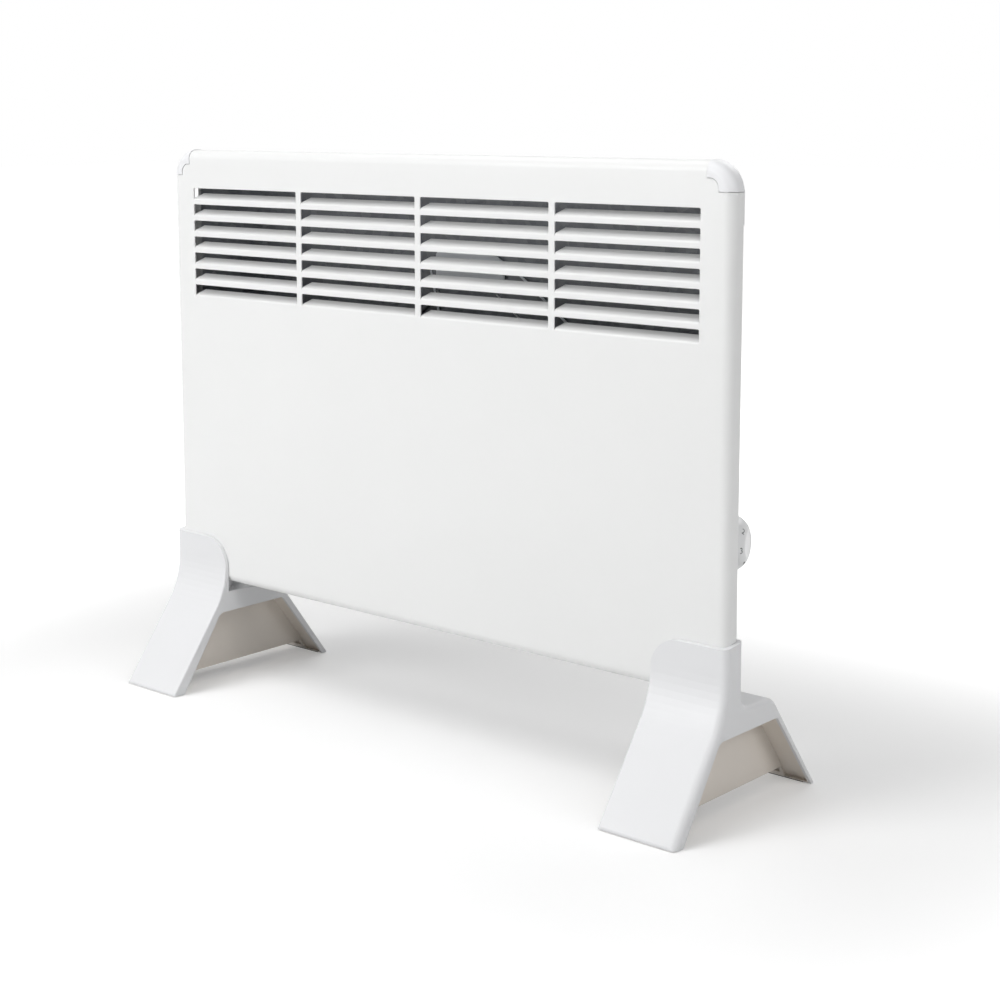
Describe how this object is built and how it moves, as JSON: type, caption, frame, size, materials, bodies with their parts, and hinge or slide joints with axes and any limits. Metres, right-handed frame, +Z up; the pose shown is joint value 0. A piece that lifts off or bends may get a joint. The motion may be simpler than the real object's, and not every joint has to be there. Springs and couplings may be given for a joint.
{
  "type": "convector heater",
  "caption": "Free-standing electric convector heater: slim white steel panel with a wide louvred air outlet, rounded corner caps, splayed moulded feet and a thermostat knob on its side.",
  "frame": {"origin": "on the floor, under the middle of the panel's width and at the middle of the feet's depth", "axes": "X along the panel, to the right as seen from the front; front faces -Y; Z up"},
  "size_m": [0.627, 0.191, 0.4955],
  "materials": {
    "enamelled_steel": "smooth semi-gloss white powder coat",
    "moulded_white": "fine satin moulding, slightly cool white",
    "knob_white": "satin moulding",
    "zinc_sheet": "dull zinc-coated sheet",
    "zinc_screws": "bright zinc plate",
    "extruded_aluminium": "mill finish",
    "element_steel": "drawn tube",
    "ceramic": "cream glazed insulator",
    "dark_plastic": "black moulding with a light sheen",
    "black_rubber": "matt",
    "brass_spindle": "turned",
    "copper_tube": "drawn, dull",
    "wire_dark": "insulated wire",
    "wire_pale": "heat-proof sleeve"
  },
  "bodies": {
    "heater": {"front_panel": "enamelled_steel", "rear_case": "enamelled_steel", "front_baffle": "zinc_sheet", "corner_cap_left": "moulded_white", "corner_cap_right": "moulded_white", "cap_screws": "zinc_screws", "case_screws": "zinc_screws", "foot_left": "moulded_white", "foot_right": "moulded_white", "foot_screws": "zinc_screws", "toe_pads_left": "black_rubber", "toe_pads_right": "black_rubber", "element_fins": "extruded_aluminium", "element_rod": "element_steel", "element_bracket_left": "zinc_sheet", "element_bracket_right": "zinc_sheet", "element_bush_left": "ceramic", "element_bush_right": "ceramic", "bracket_screws": "zinc_screws", "overheat_cutout": "dark_plastic", "control_divider": "zinc_sheet", "thermostat_body": "dark_plastic", "thermostat_screws": "zinc_screws", "capillary_tube": "copper_tube", "sensor_bulb": "copper_tube", "bulb_clips": "zinc_sheet", "switch_body": "dark_plastic", "terminal_block": "ceramic", "tilt_switch": "dark_plastic", "cord_inlet": "black_rubber", "control_wires": "wire_dark", "element_leads": "wire_pale"},
    "knob": {"thermostat_spindle": "brass_spindle", "thermostat_knob": "knob_white"},
    "rocker": {"switch_rocker": "dark_plastic"}
  },
  "joints": [
    {"name": "thermostat_turn", "type": "hinge", "parent": "heater", "child": "knob", "pos_m": [0.28128, 0.00946, 0.206], "axis": [0.9397, 0.342, 0], "range_deg": [-141, 159]},
    {"name": "switch_tilt", "type": "hinge", "parent": "heater", "child": "rocker", "pos_m": [0.28165, 0.0096, 0.162], "axis": [-0.342, 0.9397, 0], "range_deg": [-18, 0]}
  ]
}
